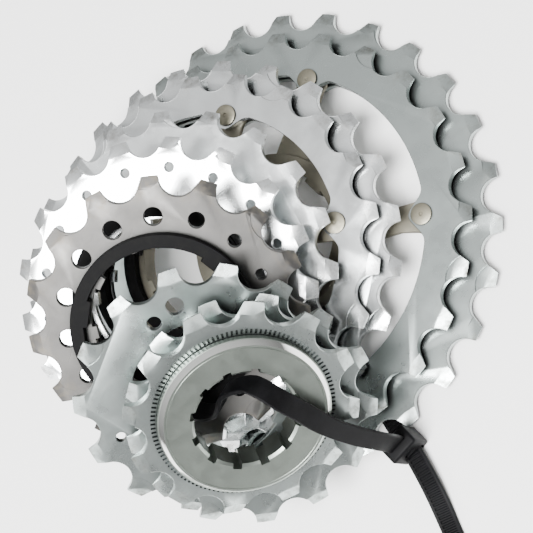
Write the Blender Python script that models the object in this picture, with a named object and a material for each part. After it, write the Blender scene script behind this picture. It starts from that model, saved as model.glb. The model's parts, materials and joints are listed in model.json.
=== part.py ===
"""Loose bicycle cassette strung on a cable tie, fanned out like keys on a ring.

Metres, +Z up. The largest sprocket cluster lies level on its rivet heads, and the
smaller pieces lean over it, each tilted a little more about the X direction.
"""
import math

import bmesh
import bpy
from mathutils import Matrix, Vector

MM = 0.001

# Chain and sprocket plate
CHAIN_PITCH = 12.7
SEAT_R = 4.3
SEAT_RISE = 1.6
SEAT_SWEEP_SOFT = 58
SEAT_SWEEP_STEEP = 80
TIP_RISE = 1.9
MOUTH_SOFT = 5.2
MOUTH_STEEP = 4.5
PLATE = 1.8
CLUSTER_PITCH = 3.8
CLEAR = 0.35

# Splined bore that slides over the freehub
BORE_R = 17.4
SPLINE_R = 16.4
SPLINE_COUNT = 9
SPLINE_WIDTH = 3.2
WIDE_SPLINE_WIDTH = 5.4

# Boss behind the two smallest sprockets
BOSS_R = 19.6
BOSS_DEPTH = 2.0

# Plastic spacers
SPACER_R = 21.4
SPACER_BORE_R = 18.3
SPACER_TAB_R = 17.4
SPACER_TABS = 3
SPACER_TAB_WIDTH = 6.5
SPACER_DEPTH = 2.2

# Lockring
LOCKRING_R = 19.25
LOCKRING_HOLE_R = 11.4
LOCKRING_FLANGE = 2.6
LOCKRING_BEVEL = 1.2
LOCKRING_CHAMFER = 0.7
THREAD_R = 15.2
THREAD_DEPTH = 4.6
NOTCH_COUNT = 12
NOTCH_WIDTH = 2.0
NOTCH_DEPTH = 1.1

# Riveted clusters: an alloy spider with five arms between two steel rings
ARM_COUNT = 5
HUB_R = 21.6
ARM_DEPTH = CLUSTER_PITCH - PLATE - 2 * CLEAR
ARM_ROOT_HALF_WIDTH = 5.2
ARM_TIP_HALF_WIDTH = 3.2
PAD_R = 4.3
LOBE_REACH = 3.4
LOBE_HALF_WIDTH = 6.5
RIVET_R = 2.0
RIVET_HOLE_R = RIVET_R + CLEAR
RIVET_HEAD_R = 2.65
FRONT_HEAD = 0.6
DIMPLE_R = 0.9
DIMPLE_DEPTH = 0.3

# Sizes in millimetres and turns in degrees
LARGE = {
    "front": 25, "rear": 28, "front_turn": 0.1, "rear_turn": 5.7,
    "rivet_r": 40.5, "ring_r": 41.2, "arm_turn": 30.0, "back_head": 1.15,
    "ring_finish": "satin_steel",
}
MIDDLE = {
    "front": 21, "rear": 23, "front_turn": 16.0, "rear_turn": 10.0,
    "rivet_r": 34.0, "ring_r": 34.4, "arm_turn": 35.0, "back_head": 0.6,
    "ring_finish": "bright_steel",
}

# How the pieces hang, from the largest to the smallest: tilt about X and turn about
# the piece's own axis in degrees, sideways and lengthways shift of the centre, and the
# gap between plate mid-planes where the piece comes closest to the one under it
FAN = [
    {"name": "middle", "teeth": 23, "tilt": 5.4, "turn": 0.0,
     "x": -11.4, "y": 5.1, "gap": 2.8},
    {"name": "sprocket_19", "teeth": 19, "tilt": 10.6, "turn": 10.8,
     "x": -19.2, "y": 3.2, "gap": 3.5},
    {"name": "sprocket_17", "teeth": 17, "tilt": 21.2, "turn": 16.4,
     "x": -21.3, "y": -1.9, "gap": 2.9},
    {"name": "sprocket_15", "teeth": 15, "tilt": 35.5, "turn": 22.2,
     "x": -22.0, "y": -10.9, "gap": 2.9},
    {"name": "sprocket_14", "teeth": 14, "tilt": 45.0, "turn": 5.0,
     "x": -27.9, "y": -29.4, "gap": 3.0},
    {"name": "sprocket_13", "teeth": 13, "tilt": 46.0, "turn": 4.7,
     "x": -24.7, "y": -39.5, "gap": 4.3},
    {"name": "sprocket_12", "teeth": 12, "tilt": 52.6, "turn": 5.1,
     "x": -23.5, "y": -41.0, "gap": 3.4},
]

# Round holes punched in the smaller plates: radius of each hole, radius of the circle
# that they lie on, how many, and the turn of the first one from a tooth
HOLES_17 = {"hole_r": 1.15, "circle_r": 29.2, "count": 17, "turn": 0.0}
HOLES_15 = {"hole_r": 1.9, "circle_r": 23.4, "count": 15, "turn": 0.0}
HOLES_14 = {"hole_r": 1.9, "circle_r": 21.2, "count": 7, "turn": 0.0}

# Cable tie
STRAP_WIDTH = 4.8
STRAP_DEPTH = 1.05
HEAD_WIDTH = 7.8
HEAD_LENGTH = 8.4
HEAD_DEPTH = 5.4
SLOT_WIDTH = 5.6
SLOT_DEPTH = 1.9
SLOT_CENTRE = Vector((-12.4, -60.7, -0.5))
HEAD_BELOW_SLOT = 1.75
TAIL_TIP_HALF_WIDTH = 1.2

ROUND_STEPS = 40
HOLE_STEPS = 8
GULLET_STEPS = 5

MATERIALS = {
    "bright_steel": ((0.72, 0.73, 0.74, 1.0), 0.24, 1.0),
    "satin_steel": ((0.56, 0.58, 0.57, 1.0), 0.42, 1.0),
    "blasted_steel": ((0.44, 0.40, 0.39, 1.0), 0.55, 1.0),
    "spider_alloy": ((0.42, 0.40, 0.36, 1.0), 0.5, 1.0),
    "rivet_brass": ((0.52, 0.46, 0.38, 1.0), 0.45, 1.0),
    "black_plastic": ((0.03, 0.03, 0.032, 1.0), 0.5, 0.0),
    "black_nylon": ((0.025, 0.025, 0.027, 1.0), 0.45, 0.0),
    "lockring_steel": ((0.60, 0.61, 0.60, 1.0), 0.35, 1.0),
}


def clear_scene():
    for obj in list(bpy.data.objects):
        bpy.data.objects.remove(obj, do_unlink=True)


def material(name):
    found = bpy.data.materials.get(name)
    if found:
        return found
    colour, roughness, metallic = MATERIALS[name]
    made = bpy.data.materials.new(name)
    made.use_nodes = True
    shader = made.node_tree.nodes["Principled BSDF"]
    shader.inputs["Base Color"].default_value = colour
    shader.inputs["Roughness"].default_value = roughness
    shader.inputs["Metallic"].default_value = metallic
    made.diffuse_color = colour
    return made


def polar(radius, angle):
    return (radius * math.cos(angle), radius * math.sin(angle))


def circle(radius, steps=ROUND_STEPS, centre=(0.0, 0.0)):
    points = [polar(radius, 2 * math.pi * i / steps) for i in range(steps)]
    return [(x + centre[0], y + centre[1]) for x, y in points]


def pitch_radius(teeth):
    return CHAIN_PITCH / (2 * math.sin(math.pi / teeth))


def tip_radius(teeth):
    return pitch_radius(teeth) + TIP_RISE


def tooth_outline(teeth, start=0.0):
    """Round roller seats between flat tips. Each tooth's flank is soft on the side that
    the chain leaves, and steep on the side that it pulls."""
    seat_circle_r = pitch_radius(teeth) + SEAT_RISE
    tip_r = tip_radius(teeth)
    half_tooth = math.pi / teeth
    points = []
    for tooth in range(teeth):
        middle = start + 2 * half_tooth * tooth
        points.append(polar(tip_r, middle - half_tooth + MOUTH_STEEP / tip_r))
        points.append(polar(tip_r, middle + half_tooth - MOUTH_SOFT / tip_r))
        seat = middle + half_tooth
        centre = polar(seat_circle_r, seat)
        for step in range(GULLET_STEPS):
            share = step / (GULLET_STEPS - 1)
            swing = SEAT_SWEEP_SOFT * (1 - share) - SEAT_SWEEP_STEEP * share
            x, y = polar(SEAT_R, seat + math.pi + math.radians(swing))
            points.append((centre[0] + x, centre[1] + y))
    return points


def tabbed_circle(radius, tab_radius, widths, steps_between=3):
    """Circle with inward tabs, one for each width, evenly spaced."""
    points = []
    count = len(widths)
    for i, width in enumerate(widths):
        middle = 2 * math.pi * i / count
        half = width / 2 / radius
        points.append(polar(radius, middle - half))
        points.append(polar(tab_radius, middle - half))
        points.append(polar(tab_radius, middle + half))
        points.append(polar(radius, middle + half))
        following = 2 * math.pi * (i + 1) / count - widths[(i + 1) % count] / 2 / radius
        for step in range(1, steps_between):
            share = step / steps_between
            angle = (middle + half) * (1 - share) + following * share
            points.append(polar(radius, angle))
    return points


def spline_bore():
    widths = [WIDE_SPLINE_WIDTH] + [SPLINE_WIDTH] * (SPLINE_COUNT - 1)
    return tabbed_circle(BORE_R, SPLINE_R, widths)


def lobed_circle(ring_r, rivet_r, start, lobe_steps=8, arc_steps=6):
    """Inner edge of a riveted ring: a circle that swells smoothly inwards at each rivet."""
    points = []
    sector = 2 * math.pi / ARM_COUNT
    half_lobe = LOBE_HALF_WIDTH / rivet_r
    swell = ring_r - rivet_r + LOBE_REACH
    for arm in range(ARM_COUNT):
        middle = start + sector * arm
        for step in range(lobe_steps + 1):
            share = 2 * step / lobe_steps - 1
            radius = ring_r - swell * (1 + math.cos(math.pi * share)) / 2
            points.append(polar(radius, middle + half_lobe * share))
        arc = sector - 2 * half_lobe
        for step in range(1, arc_steps):
            points.append(polar(ring_r, middle + half_lobe + arc * step / arc_steps))
    return points


def spider_outline(rivet_r, start):
    """Hub circle with five tapering arms that end in round pads."""
    points = []
    gap_steps = 5
    root_half = math.asin(ARM_ROOT_HALF_WIDTH / HUB_R)
    for arm in range(ARM_COUNT):
        middle = start + 2 * math.pi * arm / ARM_COUNT
        axis = Vector(polar(1.0, middle))
        side = Vector((-axis.y, axis.x))
        pad = axis * rivet_r
        shoulder = axis * (rivet_r - PAD_R - 2.0)
        points.append(polar(HUB_R, middle - root_half))
        points.append(tuple(shoulder - side * ARM_TIP_HALF_WIDTH))
        for step in range(9):
            swing = math.radians(-120 + 240 * step / 8)
            around = axis * math.cos(swing) + side * math.sin(swing)
            points.append(tuple(pad + around * PAD_R))
        points.append(tuple(shoulder + side * ARM_TIP_HALF_WIDTH))
        points.append(polar(HUB_R, middle + root_half))
        gap = 2 * math.pi / ARM_COUNT - 2 * root_half
        for step in range(1, gap_steps):
            points.append(polar(HUB_R, middle + root_half + gap * step / gap_steps))
    return points


def rivet_centres(cluster):
    start = math.radians(cluster["arm_turn"])
    step = 2 * math.pi / ARM_COUNT
    return [polar(cluster["rivet_r"], start + step * i) for i in range(ARM_COUNT)]


def add_loop(mesh, points, height):
    verts = [mesh.verts.new((x, y, height)) for x, y in points]
    return [mesh.edges.new((verts[i - 1], verts[i])) for i in range(len(verts))]


def fill(mesh, loops):
    before = set(mesh.faces)
    edges = [edge for loop in loops for edge in loop]
    bmesh.ops.triangle_fill(mesh, edges=edges, use_beauty=True)
    return [face for face in mesh.faces if face not in before]


def push(mesh, faces, distance, keep):
    """Extrude faces along Z and return the moved ones."""
    made = bmesh.ops.extrude_face_region(mesh, geom=faces, use_keep_orig=keep)
    verts = [v for v in made["geom"] if isinstance(v, bmesh.types.BMVert)]
    bmesh.ops.translate(mesh, verts=verts, vec=(0, 0, distance))
    moved = [f for f in made["geom"] if isinstance(f, bmesh.types.BMFace)]
    if not keep:
        stale = [f for f in faces if f.is_valid]
        bmesh.ops.delete(mesh, geom=stale, context="FACES_ONLY")
    return moved


def finish_mesh(mesh, name):
    """Turn a mesh drawn in millimetres into smooth-shaded mesh data in metres."""
    bmesh.ops.scale(mesh, vec=(MM, MM, MM), verts=mesh.verts)
    bmesh.ops.recalc_face_normals(mesh, faces=mesh.faces)
    data = bpy.data.meshes.new(name)
    mesh.to_mesh(data)
    mesh.free()
    data.shade_smooth()
    data.set_sharp_from_angle(angle=math.radians(35))
    return data


def add_object(name, data, finish, parent):
    obj = bpy.data.objects.new(name, data)
    bpy.context.collection.objects.link(obj)
    data.materials.append(material(finish))
    obj.parent = parent
    return obj


def flat_plate(outer, holes, bottom, depth, name):
    mesh = bmesh.new()
    loops = [add_loop(mesh, outer, bottom)]
    loops += [add_loop(mesh, hole, bottom) for hole in holes]
    push(mesh, fill(mesh, loops), depth, True)
    return finish_mesh(mesh, name)


def stepped_plate(outer, step_loop, bore, holes, levels, name):
    """Plate from low to high, whose inner part reaches on to below and above."""
    below, low, high, above = levels
    mesh = bmesh.new()
    outer_loop = add_loop(mesh, outer, low)
    step = add_loop(mesh, step_loop, low)
    bore_loop = add_loop(mesh, bore, low)
    hole_loops = [add_loop(mesh, hole, low) for hole in holes]
    rim = fill(mesh, [outer_loop, step] + hole_loops)
    inner = fill(mesh, [step, bore_loop])
    moved = push(mesh, rim + inner, high - low, True)
    limit = max(math.hypot(x, y) for x, y in step_loop) + 0.001
    top_inner = [f for f in moved if max(v.co.xy.length for v in f.verts) <= limit]
    if above > high:
        push(mesh, top_inner, above - high, False)
    if below < low:
        push(mesh, inner, below - low, False)
    return finish_mesh(mesh, name)


def turned(profile, steps, name):
    """Solid of revolution about Z from a closed outline of (radius, height)."""
    mesh = bmesh.new()
    rings = []
    for radius, height in profile:
        if radius == 0:
            rings.append([mesh.verts.new((0, 0, height))])
            continue
        points = circle(radius, steps)
        rings.append([mesh.verts.new((x, y, height)) for x, y in points])
    for i, ring in enumerate(rings):
        other = rings[(i + 1) % len(rings)]
        if len(ring) == 1 and len(other) == 1:
            continue
        for j in range(steps):
            k = (j + 1) % steps
            if len(ring) == 1:
                mesh.faces.new((ring[0], other[j], other[k]))
            elif len(other) == 1:
                mesh.faces.new((ring[j], other[0], ring[k]))
            else:
                mesh.faces.new((ring[j], other[j], other[k], ring[k]))
    return finish_mesh(mesh, name)


def box_mesh(size, centre, name):
    mesh = bmesh.new()
    bmesh.ops.create_cube(mesh, size=1.0)
    bmesh.ops.scale(mesh, vec=Vector(size), verts=mesh.verts)
    bmesh.ops.translate(mesh, vec=Vector(centre), verts=mesh.verts)
    return finish_mesh(mesh, name)


def cut_away(obj, cutter):
    cutter.hide_render = True
    cutter.display_type = "WIRE"
    cut = obj.modifiers.new("cut", "BOOLEAN")
    cut.operation = "DIFFERENCE"
    cut.object = cutter
    cut.solver = "EXACT"


def plain_sprocket(name, teeth, finish, parent, holes=None):
    loops = [spline_bore()]
    if holes:
        for i in range(holes["count"]):
            angle = math.radians(holes["turn"]) + 2 * math.pi * i / holes["count"]
            centre = polar(holes["circle_r"], angle)
            loops.append(circle(holes["hole_r"], HOLE_STEPS, centre))
    data = flat_plate(tooth_outline(teeth), loops, -PLATE / 2, PLATE, name)
    return add_object(name, data, finish, parent)


def bossed_sprocket(name, teeth, finish, parent):
    half = PLATE / 2
    levels = (-half - BOSS_DEPTH, -half, half, half)
    data = stepped_plate(
        tooth_outline(teeth), circle(BOSS_R), spline_bore(), [], levels, name)
    return add_object(name, data, finish, parent)


def lockring(parent):
    """Flange with a polished outer bevel, a threaded barrel and tool notches."""
    base = PLATE / 2 + CLEAR
    face = base + LOCKRING_FLANGE
    foot = base - THREAD_DEPTH
    hole = LOCKRING_HOLE_R
    profile = [
        (hole, face - LOCKRING_CHAMFER),
        (hole, foot),
        (THREAD_R, foot),
        (THREAD_R, base),
        (LOCKRING_R, base),
        (LOCKRING_R, face - LOCKRING_BEVEL),
        (LOCKRING_R - LOCKRING_BEVEL, face),
        (hole + LOCKRING_CHAMFER, face),
    ]
    obj = add_object("lockring", turned(profile, 48, "lockring"), "lockring_steel", parent)
    mesh = bmesh.new()
    for i in range(NOTCH_COUNT):
        turn = Matrix.Rotation(2 * math.pi * i / NOTCH_COUNT, 4, "Z")
        reach = hole + NOTCH_DEPTH
        start = hole - 1.5
        made = bmesh.ops.create_cube(mesh, size=1.0)
        size = Vector((reach - start, NOTCH_WIDTH, face - foot + 2))
        bmesh.ops.scale(mesh, vec=size, verts=made["verts"])
        middle = Vector(((reach + start) / 2, 0, (face + foot) / 2))
        bmesh.ops.translate(mesh, vec=middle, verts=made["verts"])
        bmesh.ops.transform(mesh, matrix=turn, verts=made["verts"])
    data = finish_mesh(mesh, "notch_cutter")
    cutter = add_object("notch_cutter", data, "lockring_steel", parent)
    cut_away(obj, cutter)


def spacer(name, places, below, side=0.0, slope=0.0):
    """Plastic ring that lies on the piece below it, on an axis of its own. Its inner
    edge has three tabs for the freehub's splines."""
    front = CLUSTER_PITCH if below == "middle" else 0.0
    height = front + PLATE / 2 + CLEAR + SPACER_DEPTH / 2
    centre = on_piece(places, below, side, slope, height)
    tilt = places[below][1]
    axis = axis_empty(name + "_axis", bpy.data.objects["cassette"], centre, tilt, 0.0)
    inner = tabbed_circle(SPACER_BORE_R, SPACER_TAB_R, [SPACER_TAB_WIDTH] * SPACER_TABS, 9)
    data = flat_plate(circle(SPACER_R), [inner], -SPACER_DEPTH / 2, SPACER_DEPTH, name)
    return add_object(name, data, "black_plastic", axis)


def riveted_cluster(label, cluster, parent):
    """Spider, two toothed rings and five rivets; the rear ring's mid-plane is Z = 0."""
    half = PLATE / 2
    start = math.radians(cluster["arm_turn"])
    centres = rivet_centres(cluster)
    holes = [circle(RIVET_HOLE_R, HOLE_STEPS, centre) for centre in centres]
    arm_low = half + CLEAR
    levels = (-half, arm_low, arm_low + ARM_DEPTH, CLUSTER_PITCH + half)
    spider = stepped_plate(
        spider_outline(cluster["rivet_r"], start), circle(HUB_R - 0.4), spline_bore(),
        holes, levels, label + "_spider")
    add_object(label + "_spider", spider, "spider_alloy", parent)
    for place, height in (("rear", 0.0), ("front", CLUSTER_PITCH)):
        name = label + "_" + place + "_ring"
        edge = lobed_circle(cluster["ring_r"], cluster["rivet_r"], start)
        outline = tooth_outline(cluster[place], math.radians(cluster[place + "_turn"]))
        data = flat_plate(outline, [edge] + holes, height - half, PLATE, name)
        add_object(name, data, cluster["ring_finish"], parent)
    for i, centre in enumerate(centres):
        name = label + "_rivet_" + str(i + 1)
        data = rivet_mesh(name, cluster["back_head"])
        obj = add_object(name, data, "rivet_brass", parent)
        obj.location = (centre[0] * MM, centre[1] * MM, 0)


def rivet_mesh(name, back_head):
    back = -PLATE / 2 - CLEAR
    front = CLUSTER_PITCH + PLATE / 2 + CLEAR
    profile = [
        (0, back - back_head),
        (RIVET_HEAD_R * 0.8, back - back_head),
        (RIVET_HEAD_R, back),
        (RIVET_R, back),
        (RIVET_R, front),
        (RIVET_HEAD_R, front),
        (RIVET_HEAD_R * 0.88, front + FRONT_HEAD),
        (DIMPLE_R, front + FRONT_HEAD),
        (0, front + FRONT_HEAD - DIMPLE_DEPTH),
    ]
    return turned(profile, 10, name)


def place_fan():
    """Centre and tilt of each hanging piece; each one just clears the one under it."""
    places = {}
    tilt_below = 0.0
    y_below = 0.0
    z_below = CLUSTER_PITCH
    for piece in FAN:
        tilt = math.radians(piece["tilt"])
        reach = tip_radius(piece["teeth"])
        low_y = piece["y"] - reach * math.cos(tilt)
        drop = reach * math.sin(tilt)
        normal_y = -math.sin(tilt_below)
        normal_z = math.cos(tilt_below)
        z = z_below + (piece["gap"] - (low_y - y_below) * normal_y) / normal_z + drop
        turn = math.radians(piece["turn"])
        places[piece["name"]] = (Vector((piece["x"], piece["y"], z)), tilt, turn)
        front = CLUSTER_PITCH if piece["name"] == "middle" else 0.0
        tilt_below = tilt
        y_below = piece["y"] - front * math.sin(tilt)
        z_below = z + front * math.cos(tilt)
    return places


def axis_empty(name, parent, centre, tilt, turn):
    """Empty on a piece's own axis, so that the piece turns about its Z."""
    obj = bpy.data.objects.new(name, None)
    bpy.context.collection.objects.link(obj)
    obj.parent = parent
    obj.location = centre * MM
    tip = Matrix.Rotation(tilt, 4, "X") @ Matrix.Rotation(turn, 4, "Z")
    obj.rotation_euler = tip.to_euler()
    return obj


def on_piece(places, name, side, slope, lift=0.0):
    """Point in a tilted piece's own frame, as a point of the whole object."""
    centre, tilt = places[name][:2]
    along = Vector((0, math.cos(tilt), math.sin(tilt)))
    up = Vector((0, -math.sin(tilt), math.cos(tilt)))
    return centre + Vector((side, 0, 0)) + along * slope + up * lift


def strap_route(places):
    """Middle line of the strap from its head, over the lockring, through every bore,
    under the largest cluster, back through the head and on to the tail's tip. Each
    station has the direction across the strap's width."""
    across = Vector((1, 0, 0))
    leaning = Vector((0.8, 0.35, -0.5))
    turned_in = Vector((0.63, 0.45, -0.63))
    under = -PLATE / 2 - CLEAR - STRAP_DEPTH / 2
    root = SLOT_CENTRE + Vector((0, 0, HEAD_LENGTH - HEAD_BELOW_SLOT))
    front = PLATE / 2 + CLEAR + LOCKRING_FLANGE
    return [
        (root + Vector((0.0, 0.0, -1.5)), across),
        (root + Vector((0.0, 0.0, 1.0)), across),
        (root + Vector((0.4, -0.4, 5.0)), across),
        (root + Vector((0.4, -0.2, 10.5)), across),
        (root + Vector((-0.7, 2.1, 17.9)), across),
        (on_piece(places, "sprocket_12", 9.4, -15.0, front + 2.4), across),
        (on_piece(places, "sprocket_12", 9.3, -6.1, front + 3.9), leaning),
        (on_piece(places, "sprocket_12", 9.0, -0.4, front + 3.9), leaning),
        (on_piece(places, "sprocket_12", 8.2, 3.4, front + 1.9), leaning),
        (on_piece(places, "sprocket_12", 6.2, 4.9, front - 1.6), turned_in),
        (on_piece(places, "sprocket_12", 1.0, 5.6, front - 5.4), turned_in),
        (on_piece(places, "sprocket_13", -4.4, 6.6, -0.5), turned_in),
        (on_piece(places, "sprocket_14", -5.4, 0.6, -0.5), leaning),
        (on_piece(places, "sprocket_15", -7.0, -7.0), across),
        (on_piece(places, "sprocket_17", -2.0, -9.6), across),
        (on_piece(places, "sprocket_19", 3.0, -10.4), across),
        (on_piece(places, "middle", 3.6, -11.2, 3.0), across),
        (on_piece(places, "middle", 4.4, -11.8, -3.0), across),
        (Vector((-5.9, -9.4, 3.4)), across),
        (Vector((-5.7, -10.6, 0.0)), across),
        (Vector((-5.7, -13.4, under + 0.05)), across),
        (Vector((-6.0, -18.0, under)), across),
        (Vector((-6.6, -28.0, under)), across),
        (Vector((-7.6, -39.0, under)), across),
        (Vector((-10.4, -50.0, under)), across),
        (Vector((-11.8, -56.0, under)), across),
        (SLOT_CENTRE + Vector((0.3, 2.7, -0.4)), across),
        (SLOT_CENTRE, across),
        (SLOT_CENTRE + Vector((-0.3, -2.7, 0.2)), across),
        (Vector((-15.2, -72.0, -0.7)), across),
        (Vector((-18.4, -80.0, under)), across),
        (Vector((-22.0, -89.0, under)), across),
        (Vector((-25.6, -97.0, under)), across),
    ]


def smooth_route(stations, spacing=2.4):
    """Points and width directions along a Catmull-Rom curve through the stations."""
    route = []
    last = len(stations) - 1
    for i in range(last):
        quad = [stations[min(max(i + k, 0), last)] for k in (-1, 0, 1, 2)]
        length = (quad[2][0] - quad[1][0]).length
        steps = max(1, round(length / spacing))
        for step in range(steps):
            t = step / steps
            route.append(tuple(blend_quad([q[k] for q in quad], t) for k in (0, 1)))
    route.append(stations[last])
    return route


def blend_quad(quad, t):
    a, b, c, d = quad
    return 0.5 * (2 * b + (c - a) * t + (2 * a - 5 * b + 4 * c - d) * t ** 2
                  + (3 * b - a - 3 * c + d) * t ** 3)


def strap_mesh(route, name):
    """Flat strip with a rectangular section that narrows at the tail's tip."""
    mesh = bmesh.new()
    rings = []
    taper_from = len(route) - 4
    for i, (point, width_hint) in enumerate(route):
        ahead = route[min(i + 1, len(route) - 1)][0]
        behind = route[max(i - 1, 0)][0]
        tangent = (ahead - behind).normalized()
        across = (width_hint - tangent * width_hint.dot(tangent)).normalized()
        out = tangent.cross(across)
        share = max(0, i - taper_from) / 3
        half = STRAP_WIDTH / 2 * (1 - share) + TAIL_TIP_HALF_WIDTH * share
        corners = [(-1, -1), (1, -1), (1, 1), (-1, 1)]
        ring = []
        for u, v in corners:
            spot = point + across * (u * half) + out * (v * STRAP_DEPTH / 2)
            ring.append(mesh.verts.new(spot))
        rings.append(ring)
    for ring, other in zip(rings, rings[1:]):
        for j in range(4):
            k = (j + 1) % 4
            mesh.faces.new((ring[j], ring[k], other[k], other[j]))
    mesh.faces.new(rings[0][::-1])
    mesh.faces.new(rings[-1])
    return finish_mesh(mesh, name)


def cable_tie(places, parent):
    """One moulding: the strap, and the head that its own tail passes through."""
    route = smooth_route(strap_route(places))
    obj = add_object("cable_tie", strap_mesh(route, "cable_tie"), "black_nylon", parent)
    middle = SLOT_CENTRE + Vector((0, 0, HEAD_LENGTH / 2 - HEAD_BELOW_SLOT))
    head_size = (HEAD_WIDTH, HEAD_DEPTH, HEAD_LENGTH)
    head = add_object("tie_head_block", box_mesh(head_size, middle, "tie_head_block"),
                      "black_nylon", parent)
    slot_size = (SLOT_WIDTH, HEAD_DEPTH + 4, SLOT_DEPTH)
    slot = add_object("tie_slot_cutter", box_mesh(slot_size, SLOT_CENTRE, "tie_slot_cutter"),
                      "black_nylon", parent)
    cut_away(head, slot)
    head.hide_render = True
    head.display_type = "WIRE"
    join = obj.modifiers.new("head", "BOOLEAN")
    join.operation = "UNION"
    join.object = head
    join.solver = "EXACT"


def stand_on_origin(base):
    """Put the world's origin at the bottom centre of the whole object's box."""
    bpy.context.view_layer.update()
    graph = bpy.context.evaluated_depsgraph_get()
    points = []
    for obj in bpy.data.objects:
        if obj.type == "MESH" and not obj.hide_render:
            shape = obj.evaluated_get(graph)
            points += [shape.matrix_world @ vert.co for vert in shape.data.vertices]
    low = Vector([min(point[i] for point in points) for i in range(3)])
    high = Vector([max(point[i] for point in points) for i in range(3)])
    middle = (low + high) / 2
    base.location -= Vector((middle.x, middle.y, low.z))
    bpy.context.view_layer.update()


def main():
    clear_scene()
    base = bpy.data.objects.new("cassette", None)
    bpy.context.collection.objects.link(base)
    places = place_fan()

    riveted_cluster("large", LARGE, base)
    axes = {name: axis_empty(name + "_axis", base, *place) for name, place in places.items()}
    riveted_cluster("middle", MIDDLE, axes["middle"])
    plain_sprocket("sprocket_19", 19, "bright_steel", axes["sprocket_19"])
    plain_sprocket("sprocket_17", 17, "bright_steel", axes["sprocket_17"], HOLES_17)
    plain_sprocket("sprocket_15", 15, "blasted_steel", axes["sprocket_15"], HOLES_15)
    plain_sprocket("sprocket_14", 14, "satin_steel", axes["sprocket_14"], HOLES_14)
    bossed_sprocket("sprocket_13", 13, "satin_steel", axes["sprocket_13"])
    bossed_sprocket("sprocket_12", 12, "satin_steel", axes["sprocket_12"])
    lockring(axes["sprocket_12"])

    spacer("spacer_1", places, "middle", -1.0, -0.4)
    spacer("spacer_2", places, "sprocket_19", 0.8, 0.3)
    spacer("spacer_3", places, "sprocket_17", -0.6, 0.2)
    spacer("spacer_4", places, "sprocket_15", -1.7, -0.6)
    cable_tie(places, base)
    stand_on_origin(base)


main()
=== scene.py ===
"""Loose bicycle cassette strung on a cable tie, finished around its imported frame.

Sizes are in metres. Every piece is drawn level about its own bore, and is then carried
to the place that the frame gives for that bore.
"""

import json
import math

import bpy
from mathutils import Matrix, Vector


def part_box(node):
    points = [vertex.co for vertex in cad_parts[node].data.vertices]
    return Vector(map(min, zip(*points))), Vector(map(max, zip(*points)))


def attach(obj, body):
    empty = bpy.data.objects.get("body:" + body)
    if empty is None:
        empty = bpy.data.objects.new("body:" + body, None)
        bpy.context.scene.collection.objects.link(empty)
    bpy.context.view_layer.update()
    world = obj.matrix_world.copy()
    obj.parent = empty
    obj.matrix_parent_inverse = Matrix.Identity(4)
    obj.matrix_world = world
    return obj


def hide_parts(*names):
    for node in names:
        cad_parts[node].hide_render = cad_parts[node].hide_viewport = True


bl_info = {
    "name": "Loose cassette on a cable tie",
    "version": (1, 0, 0),
    "blender": (4, 5, 0),
    "location": "View3D > Sidebar > Cassette",
    "description": "Sprockets, riveted clusters, spacers, lockring and cable tie",
    "category": "Add Mesh",
}

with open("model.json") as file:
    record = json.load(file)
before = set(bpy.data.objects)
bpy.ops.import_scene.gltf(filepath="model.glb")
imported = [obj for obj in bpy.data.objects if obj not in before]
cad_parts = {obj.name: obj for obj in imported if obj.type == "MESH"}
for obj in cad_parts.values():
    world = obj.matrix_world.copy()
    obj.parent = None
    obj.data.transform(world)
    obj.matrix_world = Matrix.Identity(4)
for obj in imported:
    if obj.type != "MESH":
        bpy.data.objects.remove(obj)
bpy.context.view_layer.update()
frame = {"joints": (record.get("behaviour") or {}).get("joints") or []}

MM = 0.001

# Chain and teeth
CHAIN_PITCH = 12.7 * MM
SEAT_R = 4.3 * MM
SEAT_RISE = 1.6 * MM
SEAT_SWEEP_SOFT = math.radians(58)
SEAT_SWEEP_STEEP = math.radians(80)
SEAT_STEPS = 16
TIP_RISE = 1.9 * MM
MOUTH_SOFT = 5.2 * MM
MOUTH_STEEP = 4.5 * MM
TIP_SLOPE_LENGTH = 1.2 * MM
TIP_SLOPE_DEPTH = 0.3 * MM

# Ground facets on the front of the tooth tips, and shallow shift ramps below them
FACET_LENGTH = 2.9 * MM
FACET_TILT = math.radians(19)
FACET_TWISTS = [math.radians(twist) for twist in (7, -12, 3)]
FACET_BLOCK = Vector((8, 9.5, 4)) * MM
RAMP_R = 5.5 * MM
RAMP_DEPTH = 0.3 * MM

# Plates and bores
PLATE = 1.8 * MM
CLUSTER_PITCH = 3.8 * MM
CLEAR = 0.35 * MM
EDGE = 0.12 * MM
BORE_R = 17.4 * MM
SPLINE_R = 16.4 * MM
SPLINE_WIDTHS = [5.4 * MM] + [3.2 * MM] * 8
BOSS_R = 19.6 * MM
BOSS_DEPTH = 2.0 * MM

# Riveted clusters
ARM_COUNT = 5
HUB_R = 21.6 * MM
ARM_DEPTH = CLUSTER_PITCH - PLATE - 2 * CLEAR
ARM_ROOT_HALF_WIDTH = 5.2 * MM
ARM_TIP_HALF_WIDTH = 3.2 * MM
PAD_R = 4.3 * MM
LOBE_REACH = 3.4 * MM
LOBE_HALF_WIDTH = 6.5 * MM
LOBE_STEPS = 20
RIVET_R = 2.0 * MM
RIVET_HEAD_R = 2.6 * MM
FRONT_HEAD = 0.3 * MM
HEAD_SLOPE = 0.35 * MM
HEAD_WALL_SHARE = 0.6
DIMPLE_R = 0.5 * MM
DIMPLE_DEPTH = 0.15 * MM

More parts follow.
